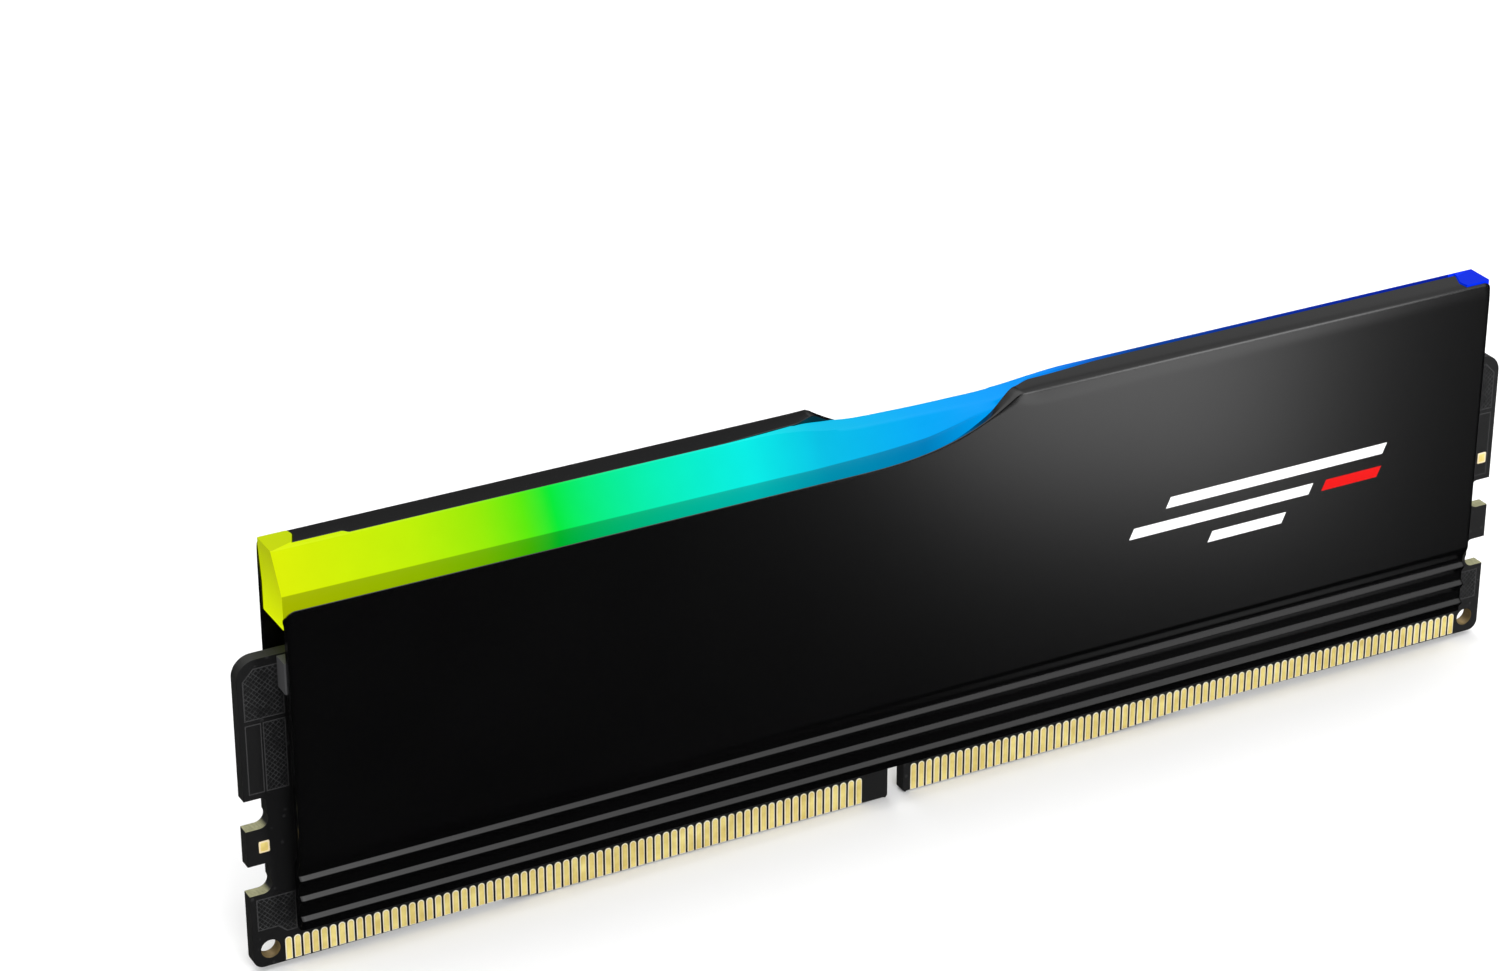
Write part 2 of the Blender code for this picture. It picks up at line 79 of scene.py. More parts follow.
# The copper under the mask at the board's right end: (x, z) outlines, and whether each is a mesh.
COPPER_FIELDS = (
    (((62.4, 25.4), (66.15, 25.4), (66.15, 29.3), (65.1, 30.4), (62.4, 30.4)), True),
    (((64.65, 18.15), (66.15, 18.15), (66.15, 25.0), (64.65, 25.0)), False),
    (((62.4, 18.15), (64.5, 18.15), (64.5, 25.0), (62.4, 25.0)), True),
    (((62.4, 3.6), (63.4, 3.6), (64.2, 4.3), (66.1, 4.3), (66.1, 7.5), (62.4, 7.5)), True),
)
COPPER_UNDER, COPPER_OVER = 0.001, 0.02
COPPER_BORDER = 0.1
MESH_PITCH = 0.52
LAYER_PITCH = 0.21

# Contacts
PITCH = 0.85
FINGER_WIDTH = 0.64
FINGER_FOOT = 0.15
FINGER_SUNK = 0.015
FINGER_LIP = 0.03
FINGER_RIM = 0.08

# Heat spreaders
SHEET = 0.9
RECESS = 0.75
RECESS_TOP = 10.5
FACE_FOOT = 11.7
RIB_HEIGHTS = (5.52, 7.61, 9.64)
RIB_DEPTH = 0.4
RIB_SHOULDER = 0.35
RIB_FLAT = 0.1
LOW_EDGE = 36.4
RAMP_START = -9.0
RAMP_GAIN = 0.0007
EDGE_CHAMFER = 0.55
EDGE_CHAMFER_RUNOUT = (2.0, 8.3)
REAR_FLANGE_STEP = 0.5
FLANGE_STEP_AT = (55.3, 55.9)
FLANGE_RISES = ((6.3, 9.6, 0.34), (9.2, 12.0, 0.41), (12.0, 21.0, 0.25))
END_ROUND = 0.35
CORNER_RADIUS = 0.8

# The outer top edge of a cover: each corner's depth behind the face, drop below the top and
# rounding, as (on the plain sheet, gain where it is folded), and its steps.
FOLD_RUNOUT = (5.5, 12.0)
EDGE_PROFILE = (
    ((0.0, 0.0), (0.15, 1.05), (0.05, 0.45), 5),
    ((0.01, 0.05), (0.06, 0.24), (0.03, 0.04), 2),
    ((0.03, 0.08), (0.02, 0.06), (0.03, 0.02), 3),
    ((0.1, 0.8), (0.0, 0.0), (0.04, 0.36), 4),
)

# Stripes printed on the front cover, as (left, right, low, high) and a colour.
STRIPE_LEAN = 0.45
WHITE, RED = (0.9, 0.9, 0.9), (0.6, 0.0, 0.0)
STRIPES = (
    ((26.0, 51.0, 25.0, 26.1), WHITE),
    ((22.0, 42.5, 22.6, 23.7), WHITE),
    ((44.0, 50.5, 22.6, 23.7), RED),
    ((31.0, 39.5, 20.2, 21.3), WHITE),
)

# Light bar
BAR_FACE = 2.25
BAR_FOOT = 34.2
BAR_TOP = 40.8
KEEL_HALF_WIDTH = 1.2
KEEL_HALF_LENGTH = 58.0
TAB_PLAN = ((60.5, -0.6), (59.8, -2.1), (60.0, -2.9))
TAB_ROOT = -0.05
TAB_LEDGE = 39.95
TAB_TAPER_FOOT = 36.9
TAPER_DEPTH = 0.62
WEB_DEPTH = 0.55
WEB_OVERLAP = 0.3
CLEAR = 0.12
TUCK_START = 7.8
TUCK_FULL = 12.0
BAR_STATIONS = (
    (-16.0, (-BAR_FACE, 37.3), (-1.2, 39.0), (-0.1, 40.8)),
    (-12.0, (-BAR_FACE, 37.3), (-1.2, 38.9), (-0.2, 40.5)),
    (-9.0, (-BAR_FACE, 37.35), (-1.35, 38.75), (-0.5, 40.1)),
    (-6.0, (-BAR_FACE, 37.4), (-1.5, 38.65), (-0.8, 39.85)),
    (0.0, (-BAR_FACE, 37.8), (-1.6, 38.8), (-1.0, 39.8)),
    (3.0, (-BAR_FACE, 38.4), (-1.7, 39.1), (-1.15, 39.8)),
    (5.5, (-BAR_FACE, 39.0), (-1.8, 39.4), (-1.25, 39.82)),
    (8.25, (-BAR_FACE, 39.3), (-2.0, 39.5), (-1.7, 39.95)),
    (12.0, (-BAR_FACE, 40.8), (-0.8, 40.8), (-0.62, 40.8)),
    (21.0, (-BAR_FACE, 40.8), (-0.3, 40.8), (-0.12, 40.8)),
)


# ---------------------------------------------------------------- shapes


def smooth(value, low, high):
    """0 up to low, 1 from high on, and a smooth rise between them."""
    share = min(1.0, max(0.0, (value - low) / (high - low)))
    return share * share * (3 - 2 * share)


def arc(centre, radius, start, end, steps):
    """Points on an arc, with angles in degrees."""
    angles = [math.radians(start + (end - start) * step / steps) for step in range(steps + 1)]
    return [(centre[0] + radius * math.cos(a), centre[1] + radius * math.sin(a)) for a in angles]


def rounded(corners):
    """A closed outline whose corners, given as (a, b, reach, steps), become short curves."""
    points = []
    count = len(corners)
    for index, (a, b, reach, steps) in enumerate(corners):
        here = Vector((a, b))
        before = Vector(corners[index - 1][:2]) - here
        after = Vector(corners[(index + 1) % count][:2]) - here
        start = here + before.normalized() * min(reach, before.length * 0.45)
        end = here + after.normalized() * min(reach, after.length * 0.45)
        for step in range(steps + 1):
            share = step / steps
            point = start * (1 - share) ** 2 + here * (2 * share * (1 - share)) + end * share**2
            points.append((point.x, point.y))
    return points


def new_piece(name, points, faces, materials, slots=None):
    """An object from points in millimetres; slots gives each face its material."""
    shape = bmesh.new()
    corners = [shape.verts.new([value * MM for value in point]) for point in points]
    for index, face in enumerate(faces):
        made = shape.faces.new([corners[corner] for corner in face])
        made.material_index = slots[index] if slots else 0
    bmesh.ops.recalc_face_normals(shape, faces=shape.faces)
    mesh = bpy.data.meshes.new(name)
    shape.to_mesh(mesh)
    shape.free()
    for material in materials:
        mesh.materials.append(material)
    piece = bpy.data.objects.new(name, mesh)
    bpy.context.scene.collection.objects.link(piece)
    return piece


def loft(name, rings, materials):
    """A closed body through rings of points, capped at both ends."""
    count = len(rings[0])
    faces = []
    for step in range(len(rings) - 1):
        low, high = step * count, (step + 1) * count
        for index in range(count):
            after = (index + 1) % count
            faces.append((low + index, low + after, high + after, high + index))
    last = (len(rings) - 1) * count
    faces.append(tuple(range(count)))
    faces.append(tuple(range(last, last + count)))
    return new_piece(name, [point for ring in rings for point in ring], faces, materials)


def prism(name, outline, low, high, axis, materials=()):
    """An outline in the other two axes, drawn from low to high along axis 0, 1 or 2."""
    rings = [[(*p[:axis], at, *p[axis:]) for p in outline] for at in (low, high)]
    return loft(name, rings, materials)


def bake(piece):
    """Replaces the piece's mesh by what its modifiers make of it."""
    bpy.context.view_layer.update()
    graph = bpy.context.evaluated_depsgraph_get()
    result = bpy.data.meshes.new_from_object(piece.evaluated_get(graph))
    piece.modifiers.clear()
    piece.data = result


def cut(target, tool, operation="DIFFERENCE"):
    """Applies a Boolean to the target and removes the tool."""
    change = target.modifiers.new("cut", "BOOLEAN")
    change.operation = operation
    change.object = tool
    bake(target)
    bpy.data.objects.remove(tool, do_unlink=True)


def soften(piece, angle=35.0, bevel=0.0):
    """Smooth shading with crisp edges, and a fine bevel on them where one is asked for.

    It works on the piece in millimetres, because the normals' area weights vanish in metres.
    """
    piece.data.transform(Matrix.Scale(1 / MM, 4))
    piece.data.shade_smooth()
    piece.data.set_sharp_from_angle(angle=math.radians(angle))
    if bevel:
        edge = piece.modifiers.new("edges", "BEVEL")
        edge.width = bevel
        edge.segments = 2
        edge.limit_method = "ANGLE"
        edge.angle_limit = math.radians(angle)
    weighted = piece.modifiers.new("normals", "WEIGHTED_NORMAL")
    weighted.keep_sharp = not bevel
    bake(piece)
    piece.data.transform(Matrix.Scale(MM, 4))


def install(piece, slot, *nodes):
    """Makes the piece ride with the module in place of these model nodes."""
    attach(piece, "root")
    if nodes:
        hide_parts(*nodes)
    return piece


# ---------------------------------------------------------------- materials


class Nodes:
    """Short calls for building one material's node tree."""

    def __init__(self, name):
        self.material = bpy.data.materials.new(name)
        self.material.use_nodes = True
        self.tree = self.material.node_tree
        self.shader = self.tree.nodes["Principled BSDF"]
        self.place = None

    def add(self, kind, **settings):
        made = self.tree.nodes.new(kind)
        for key, value in settings.items():
            setattr(made, key, value)
        return made

    def link(self, source, target):
        self.tree.links.new(source, target)

    def put(self, socket, value):
        if isinstance(value, bpy.types.NodeSocket):
            self.link(value, socket)
        else:
            socket.default_value = value

    def set(self, socket, value):
        """Sets or links one of the shader's own sockets."""
        self.put(self.shader.inputs[socket], value)

    def position(self):
        """Millimetres in the module's own frame, as three sockets."""
        if self.place is None:
            where = self.add("ShaderNodeTexCoord")
            scaled = self.add("ShaderNodeVectorMath", operation="SCALE")
            self.link(where.outputs["Object"], scaled.inputs[0])
            scaled.inputs["Scale"].default_value = 1000
            split = self.add("ShaderNodeSeparateXYZ")
            self.link(scaled.outputs[0], split.inputs[0])
            self.place = (scaled.outputs[0], *split.outputs)
        return self.place

    def math(self, operation, *values, clamp=False):
        made = self.add("ShaderNodeMath", operation=operation, use_clamp=clamp)
        for socket, value in zip(made.inputs, values):
            self.put(socket, value)
        return made.outputs[0]

    def noise(self, scale, detail=2.0, stretch=(1, 1, 1)):
        """Noise with about `scale` features to the millimetre."""
        vector = self.position()[0]
        if stretch != (1, 1, 1):
            mapped = self.add("ShaderNodeVectorMath", operation="MULTIPLY")
            self.link(vector, mapped.inputs[0])
            mapped.inputs[1].default_value = stretch
            vector = mapped.outputs[0]
        made = self.add("ShaderNodeTexNoise")
        self.link(vector, made.inputs["Vector"])
        made.inputs["Scale"].default_value = scale
        made.inputs["Detail"].default_value = detail
        return made.outputs["Fac"]

    def ramp(self, factor, stops, interpolation="LINEAR"):
        """A colour or value ramp; stops are (position, value or colour)."""
        made = self.add("ShaderNodeValToRGB")
        made.color_ramp.interpolation = interpolation
        elements = made.color_ramp.elements
        while len(elements) < len(stops):
            elements.new(0.5)
        for element, (at, value) in zip(elements, stops):
            element.position = at
            element.color = (*value, 1) if isinstance(value, tuple) else (value, value, value, 1)
        self.link(factor, made.inputs[0])
        return made.outputs[0]

    def blend(self, factor, first, second):
        """The first colour where factor is 0, the second where it is 1."""
        made = self.add("ShaderNodeMix", data_type="RGBA")
        self.put(made.inputs[0], factor)
        for socket, value in ((made.inputs[6], first), (made.inputs[7], second)):
            self.put(socket, (*value, 1) if isinstance(value, tuple) else value)
        return made.outputs[2]

    def scaled(self, value, low, high):
        """A 0 to 1 value spread over low to high."""
        made = self.add("ShaderNodeMapRange")
        self.put(made.inputs["Value"], value)
        made.inputs["To Min"].default_value = low
        made.inputs["To Max"].default_value = high
        return made.outputs[0]

    def bump(self, height, strength, distance):
        made = self.add("ShaderNodeBump")
        self.link(height, made.inputs["Height"])
        made.inputs["Strength"].default_value = strength
        made.inputs["Distance"].default_value = distance * MM
        self.link(made.outputs[0], self.shader.inputs["Normal"])

    def facing(self, direction):
        """How much the surface faces a direction, from 0 to 1."""
        where = self.add("ShaderNodeNewGeometry")
        dot = self.add("ShaderNodeVectorMath", operation="DOT_PRODUCT")
        self.link(where.outputs["Normal"], dot.inputs[0])
        dot.inputs[1].default_value = direction
        return self.math("MAXIMUM", dot.outputs["Value"], 0.0)


def slanted_bar(nodes, left, right, low, high):
    """1 inside a bar on the (x, z) face that leans to the right as it rises, and 0 outside."""
    _, x, _, z = nodes.position()
    above = nodes.math("SUBTRACT", z, low)
    upright = nodes.math("MULTIPLY_ADD", above, -STRIPE_LEAN, x)
    inside = None
    for value, least, most in ((upright, left, right), (z, low, high)):
        for test, limit in (("GREATER_THAN", least), ("LESS_THAN", most)):
            passed = nodes.math(test, value, limit)
            inside = nodes.math("MULTIPLY", inside, passed) if inside else passed
    return inside


def anodised_black(name, marks=()):
    """Satin black anodised aluminium with a fine grain and painted shade in the recess below its
    face; marks are printed (bar, colour) pairs.
    """
    n = Nodes(name)
    grain = n.noise(9.0, 3.0)
    cloud = n.noise(0.09, 2.0)
    colour = n.blend(cloud, (0.0012, 0.0012, 0.0013), (0.002, 0.002, 0.0021))
    rough = n.scaled(grain, 0.16, 0.2)
    # Painted shade: below the face's foot, faces that don't look up get a weaker reflection.
    # Printed stripes also reflect less, being matte.
    painted_shade_recess = n.math("LESS_THAN", n.position()[3], FACE_FOOT)
    upward = n.ramp(n.facing((0, 0, 1)), [(0.3, 1.0), (0.6, 0.0)])
    painted_shade_and_matte_print = n.math("MULTIPLY", painted_shade_recess, upward)
    for (left, right, low, high), paint in marks:
        bar = slanted_bar(n, left, right, low, high)
        colour = n.blend(bar, colour, paint)
        rough = n.math("MULTIPLY_ADD", bar, 0.15, rough)
        painted_shade_and_matte_print = n.math("ADD", bar, painted_shade_and_matte_print)
    n.set("Specular IOR Level", n.scaled(painted_shade_and_matte_print, 0.5, 0.12))
    n.set("Base Color", colour)
    n.set("Roughness", rough)
    n.set("IOR", 1.5)
    n.bump(grain, 0.03, 0.01)
    return n.material


def solder_mask(name, copper="none"):
    """Black solder mask over bare laminate with filled vias, a copper track or a copper mesh."""
    n = Nodes(name)
    place, x, _, z = n.position()
    fine = n.noise(6.0, 3.0)
    colour = n.blend(fine, (0.004, 0.004, 0.0042), (0.0075, 0.0075, 0.008))
    height = n.math("MULTIPLY", fine, 0.25)
    if copper == "none":
        vias = n.add("ShaderNodeTexVoronoi")
        n.link(place, vias.inputs["Vector"])
        vias.inputs["Scale"].default_value = 0.9
        dots = n.ramp(vias.outputs["Distance"], [(0.12, 1.0), (0.19, 0.0)])
        colour = n.blend(dots, colour, (0.016, 0.016, 0.017))
        height = n.math("ADD", height, dots)
    if copper == "track":
        colour = n.blend(fine, (0.02, 0.02, 0.021), (0.045, 0.045, 0.046))
    if copper == "mesh":
        lines = []
        for sign in (1, -1):
            along = n.math("MULTIPLY_ADD", z, sign, x)
            wave = n.math("SINE", n.math("MULTIPLY", along, 2 * math.pi / MESH_PITCH))
            lines.append(n.math("SMOOTH_MAX", wave, 0.0, 0.2))
        mesh = n.ramp(n.math("MAXIMUM", *lines), [(0.7, 0.0), (0.97, 1.0)])
        wear = n.ramp(n.noise(1.2, 3.0), [(0.35, 0.25), (0.65, 1.0)])
        colour = n.blend(n.math("MULTIPLY", mesh, wear), colour, (0.032, 0.033, 0.034))
        height = n.math("ADD", height, mesh)
    n.set("Base Color", colour)
    n.set("Roughness", n.scaled(fine, 0.42, 0.56))
    n.bump(height, 0.6, 0.035)
    return n.material


def bare_laminate():
    """Glass-epoxy at the board's cut edges: dark layers, painted lighter in pale olive where a
    latch notch faces up.
    """
    n = Nodes("glass_laminate")
    _, _, y, z = n.position()
    layers = n.math("SINE", n.math("MULTIPLY", y, 2 * math.pi / LAYER_PITCH))
    fibre = n.noise(4.0, 3.0, (1.0, 0.4, 1.0))
    share = n.math("MULTIPLY_ADD", layers, 0.22, fibre, clamp=True)
    dark = n.blend(share, (0.006, 0.006, 0.006), (0.018, 0.018, 0.017))
    pale = n.blend(share, (0.14, 0.14, 0.07), (0.42, 0.41, 0.24))
    # Painted light: the laminate turns pale olive only on upward notch faces below the latch's top.
    level = n.ramp(n.facing((0, 0, 1)), [(0.6, 0.0), (0.9, 1.0)])
    notch = n.math("MULTIPLY", level, n.math("LESS_THAN", z, LATCH_TOP))
    n.set("Base Color", n.blend(notch, dark, pale))
    n.set("Roughness", n.scaled(fibre, 0.5, 0.7))
    n.bump(share, 0.5, 0.03)
    return n.material


def gold(name, dark=(0.78, 0.6, 0.17), light=(1.0, 0.84, 0.3)):
    """Hard gold plating with faint insertion scratches."""
    n = Nodes(name)
    cloud = n.noise(0.7, 3.0)
    scratch = n.noise(3.0, 4.0, (6.0, 1.0, 0.35))
    colour = n.blend(n.ramp(cloud, [(0.3, 0.0), (0.7, 1.0)]), dark, light)
    n.set("Base Color", colour)
    n.set("Roughness", n.scaled(scratch, 0.32, 0.5))
    n.set("Metallic", 0.3)
    n.bump(scratch, 0.2, 0.01)
    return n.material


# The light's colour along the bar, as (share of the length from the left, linear colour).
GLOW = (
    (0.0, (0.72, 0.86, 0.0)),
    (0.1, (0.52, 0.86, 0.0)),
    (0.15, (0.32, 0.83, 0.0)),
    (0.185, (0.1, 0.82, 0.002)),
    (0.205, (0.0, 0.82, 0.03)),
    (0.235, (0.0, 0.84, 0.2)),
    (0.29, (0.0, 0.86, 0.48)),
    (0.36, (0.0, 0.84, 0.78)),
    (0.42, (0.0, 0.52, 0.78)),
    (0.5, (0.0, 0.4, 0.92)),
    (0.57, (0.0, 0.33, 0.95)),
    (0.66, (0.005, 0.17, 0.9)),
    (0.8, (0.002, 0.07, 0.9)),
    (1.0, (0.0, 0.03, 1.0)),
)


def upward_share(n):
    """How strongly the bar's upper faces glow: a lit band on one half, and faces that look up."""
    _, x, y, _ = n.position()
    behind = n.scaled(n.math("GREATER_THAN", y, 0.0), 1.0, -1.0)
    onward = n.math("MULTIPLY", n.math("MULTIPLY", x, behind), 0.16, clamp=True)
    raised = n.ramp(n.facing((0, 0, 1)), [(0.25, 0.0), (0.45, 0.95), (0.8, 1.0)])
    return n.math("MAXIMUM", n.scaled(onward, 0.5, 0.93), raised)


def block_shade(n):
    """The flat tops of the two end blocks glow a little less."""
    _, x, y, _ = n.position()
    across = n.math("MULTIPLY", y, n.math("SIGN", x))
    beside = n.math("MULTIPLY_ADD", across, -2.6, n.math("ABSOLUTE", x))
    flat = n.math("GREATER_THAN", n.facing((0, 0, 1)), 0.95)
    on_block = n.math("MULTIPLY", n.math("GREATER_THAN", beside, 62.3), flat)
    return n.scaled(on_block, 1.0, 0.75)


def strip_shade(n):
    """The narrow strip between the two folds fades to the right."""
    _, x, y, _ = n.position()
    strip = n.math("MULTIPLY_ADD", x, 0.1, -1.4, clamp=True)
    for value, limit in ((y, 0.15), (x, TAB_PLAN[1][0])):
        strip = n.math("MULTIPLY", strip, n.math("LESS_THAN", value, limit))
    return n.scaled(strip, 1.0, 0.35)


def glowing_diffuser(half):
    """Milky plastic lit from inside by eight lamps, brightest where it faces up."""
    n = Nodes("milky_diffuser")
    _, x, _, z = n.position()
    along = n.math("MULTIPLY_ADD", x, 0.5 / half, 0.5)
    colour = n.ramp(along, GLOW)
    up = n.math("MULTIPLY", upward_share(n), block_shade(n))
    up = n.math("MULTIPLY", up, strip_shade(n))
    ends = n.math("MAXIMUM", n.facing((-1, 0, 0)), n.facing((1, 0, 0)))
    depth = BAR_TOP - BAR_FOOT
    below = n.math("MULTIPLY_ADD", z, -1 / depth, BAR_TOP / depth, clamp=True)
    level = n.add("ShaderNodeMix", data_type="FLOAT")
    n.put(level.inputs[0], n.ramp(ends, [(0.5, 0.0), (0.8, 1.0)]))
    n.put(level.inputs[2], up)
    n.put(level.inputs[3], n.scaled(below, 0.55, 0.95))
    haze = n.scaled(n.noise(0.5, 2.0), 0.97, 1.03)
    body = [(at, tuple(0.03 * channel for channel in shade)) for at, shade in GLOW]
    n.set("Base Color", n.ramp(along, body))
    n.set("Emission Color", colour)
    n.set("Emission Strength", n.math("MULTIPLY", level.outputs[0], haze))
    n.set("Roughness", n.scaled(n.noise(2.0, 3.0), 0.32, 0.4))
    n.set("Specular IOR Level", 0.06)
    return n.material


def moulded(name, low, high, scale=3.0, rough=(0.5, 0.65), bump=0.3, depth=0.02):
    """A plain moulded or fired body: two close tones, a fine texture and its roughness."""
    n = Nodes(name)
    grain = n.noise(scale, 4.0)
    n.set("Base Color", n.blend(grain, low, high))
    n.set("Roughness", n.scaled(grain, *rough))
    n.bump(grain, bump, depth)
    return n.material


# ---------------------------------------------------------------- board


def side_outline(right, height):
    """The board's right edge from the bottom corner up, with its latch notches."""
    inner = right - SIDE_NOTCH_DEPTH
    foot, crown = BOTTOM_CORNER_RADIUS, TOP_CORNER_RADIUS
    points = arc((right - foot, END_RISE + foot), foot, -90, 0, 10)
    relief, lift = NOTCH_RELIEF_RADIUS, NOTCH_RELIEF_CENTRE
    meet = math.degrees(math.acos(lift / relief))
    for low, high in SIDE_NOTCHES:
        points.append((right, low))
        points += arc((inner + lift, low + relief), relief, 270, 180 - meet, 14)
        points += arc((inner + NOTCH_RADIUS, high - NOTCH_RADIUS), NOTCH_RADIUS, 180, 90, 8)
        points.append((right, high))
    return points + arc((right - crown, height - crown), crown, 0, 90, 14)


def board_outline(right, height):
    """The board's whole outline, with the key notch and the sloping ends of its lower edge."""
    side = side_outline(right, height)
    left, far = KEY_NOTCH
    crown = (far - left) / 2
    bottom = [(LEFT_SLOPE[0], END_RISE), (LEFT_SLOPE[1], 0.0)]
    edge = KEY_EDGE_RADIUS
    bottom += arc((left - edge, edge), edge, -90, 0, 6)
    bottom += arc(((left + far) / 2, KEY_NOTCH_HEIGHT - crown), crown, 180, 0, 20)
    bottom += arc((far + edge, edge), edge, 180, 270, 6)
    bottom += [(RIGHT_SLOPE[0], 0.0), (RIGHT_SLOPE[1], END_RISE)]
    return bottom + side + [(-x, z) for x, z in reversed(side)]


def copper_field(outline, front, face, materials):
    """One field of copper on a face of the board: its filling inside a border track."""
    under, over = (front * (face + height) for height in (COPPER_UNDER, COPPER_OVER))
    field = prism("field", outline, under, over, 1, materials)
    shape = bmesh.new()
    shape.from_mesh(field.data)
    shape.faces.ensure_lookup_table()
    top = max(shape.faces, key=lambda one: one.calc_center_median().y * front)
    bmesh.ops.inset_region(shape, faces=[top], thickness=COPPER_BORDER * MM, use_even_offset=True)
    top.material_index = 1
    shape.to_mesh(field.data)
    shape.free()
    return field


def join(name, pieces, slot):
    """Several pieces as one object."""
    shape = bmesh.new()
    for piece in pieces:
        shape.from_mesh(piece.data)
    mesh = bpy.data.meshes.new(name)
    shape.to_mesh(mesh)
    shape.free()
    for material in pieces[0].data.materials:
        mesh.materials.append(material)
    for piece in pieces:
        bpy.data.objects.remove(piece, do_unlink=True)
    made = bpy.data.objects.new(name, mesh)
    bpy.context.scene.collection.objects.link(made)
    return install(made, slot)


def on_contact_edge(x, z, right):
    """Whether a point of the outline lies on the bevelled edge that enters the socket."""
    low = z < END_RISE + 0.02 and abs(x) < right - 1.05
    return low and not KEY_NOTCH[0] - 0.35 < x < KEY_NOTCH[1] + 0.35


def board_skins(board):
    """Mask on the board's faces, laminate on its cut edges and plating in its holes."""
    hole_x, hole_z = TOOLING_HOLE
    for polygon in board.data.polygons:
        centre = polygon.center / MM
        across = Vector((abs(centre.x) - hole_x, centre.z - hole_z)).length
        wall = 2 if across < TOOLING_HOLE_RADIUS * 1.05 else 1
        polygon.material_index = 0 if abs(polygon.normal.y) > 0.9 else wall


def circuit_board(skins):
    """The board with its bevelled contact edge."""
    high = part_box("circuit_board")[1] / MM
    rise, depth = BOTTOM_BEVEL
    outline = board_outline(high.x, high.z)
    rings = []
    for y, lift in ((-high.y, rise), (-high.y + depth, 0.0), (high.y - depth, 0.0), (high.y, rise)):
        rings.append([(x, y, z + lift * on_contact_edge(x, z, high.x)) for x, z in outline])
    board = loft("board", rings, skins)
    for side in (-1, 1):
        centre = (side * TOOLING_HOLE[0], TOOLING_HOLE[1])
        rim = arc(centre, TOOLING_HOLE_RADIUS, 0, 352.5, 47)
        cut(board, prism("drill", rim, -high.y - 1, high.y + 1, 1, skins))
    board_skins(board)
    soften(board, 40, EDGE_BEVEL)
    install(board, "solder_mask_black", "circuit_board")


def copper(track, hatched, plain):
    """The copper fields under the mask, on both faces of the board and at both ends."""
    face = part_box("circuit_board")[1].y / MM
    meshes, solids = [], []
    for side in (-1, 1):
        for field, is_mesh in COPPER_FIELDS:
            outline = [(side * x, z) for x, z in field]
            for front in (-1, 1):
                chosen = meshes if is_mesh else solids
                filling = hatched if is_mesh else plain
                chosen.append(copper_field(outline, front, face, [track, filling]))
    join("copper_mesh", meshes, "solder_mask_black")
    join("copper_pour", solids, "solder_mask_black")


def edge_height(x):
    """Height of the board's lower edge, which rises towards both ends."""
    left = (LEFT_SLOPE[1] - x) / (LEFT_SLOPE[1] - LEFT_SLOPE[0])
    right = (x - RIGHT_SLOPE[0]) / (RIGHT_SLOPE[1] - RIGHT_SLOPE[0])
    return END_RISE * min(1.0, max(0.0, left, right))


def finger_rings(x, foot, top, side, near, far):
    """Three rings of one contact: its base, the foot of its slanted rim, and its flat crown."""
    half = FINGER_WIDTH / 2
    rings = []
    for y, inset in ((near, 0.0), (far - FINGER_LIP, 0.0), (far, FINGER_RIM)):
        radius = half - inset
        ring = [(x - radius, foot + inset), (x + radius, foot + inset)]
        ring += arc((x, top - half), radius, 0, 180, 10)
        rings.append([(a, side * y, b) for a, b in ring])
    return rings


def finger_faces(base, size):
    """The faces of one contact, whose three rings of points start at base; its crown comes last."""
    faces = []
    for lower in (base, base + size):
        upper = lower + size
        for index in range(size):
            after = (index + 1) % size
            faces.append((lower + index, lower + after, upper + after, upper + index))
    faces.append(tuple(range(base, base + size)))
    faces.append(tuple(range(base + 2 * size, base + 3 * size)))
    return faces


def contact_row(node, crown, rim):
    """Separate gold fingers with rounded tops and rims in a paler gold as a painted highlight, in
    place of one row of the model.
    """
    low, high = (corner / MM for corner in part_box(node))
    front = -1 if high.y < 0 else 1
    near, far = sorted((abs(low.y), abs(high.y)))
    half = FINGER_WIDTH / 2
    first, last = low.x + half, high.x - half
    points, faces, slots = [], [], []
    for number in range(round((last - first) / PITCH) + 1):
        x = first + PITCH * number
        foot = max(edge_height(x - half), edge_height(x + half)) + FINGER_FOOT
        rings = finger_rings(x, foot, high.z, front, near - FINGER_SUNK, far)
        faces += finger_faces(len(points), len(rings[0]))
        for ring in rings:
            points += ring
        # Every face but the crown takes the rim's near-white gold, a painted highlight.
        slots += [1] * (len(faces) - len(slots) - 1) + [0]
    row = new_piece(node.replace("contacts", "fingers"), points, faces, [crown, rim], slots)
    soften(row, 40)
    install(row, "gold_plating", node)


def gold_pad(node, material, rim):
    """A bare square pad: a plated crown inside a rim in a paler gold, a painted highlight."""
    low, high = (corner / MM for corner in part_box(node))
    rings = []
    for y, inset in ((high.y, 0.0), (low.y + 0.02, 0.0), (low.y, 0.07), (low.y + 0.012, 0.16)):
        corners = [
            (low.x + inset, low.z + inset, 0.12, 3),
            (high.x - inset, low.z + inset, 0.12, 3),
            (high.x - inset, high.z - inset, 0.12, 3),
            (low.x + inset, high.z - inset, 0.12, 3),
        ]
        rings.append([(a, y, b) for a, b in rounded(corners)])
    # Every face but the crown takes the rim's paler gold, a painted highlight.
    pad = loft(node.replace("gold", "test"), rings, [rim, material])
    pad.data.polygons[len(pad.data.polygons) - 1].material_index = 1
    soften(pad, 60)
    install(pad, "gold_plating", node)


# ---------------------------------------------------------------- heat spreaders


class CoverSize:
    """The model's own size of a cover, in millimetres."""

    def __init__(self):
        low, high = (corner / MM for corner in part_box("front_heat_spreader"))
        self.half = high.x
        self.outer = -low.y
        self.foot = low.z
        self.top = high.z
        self.reach = high.y


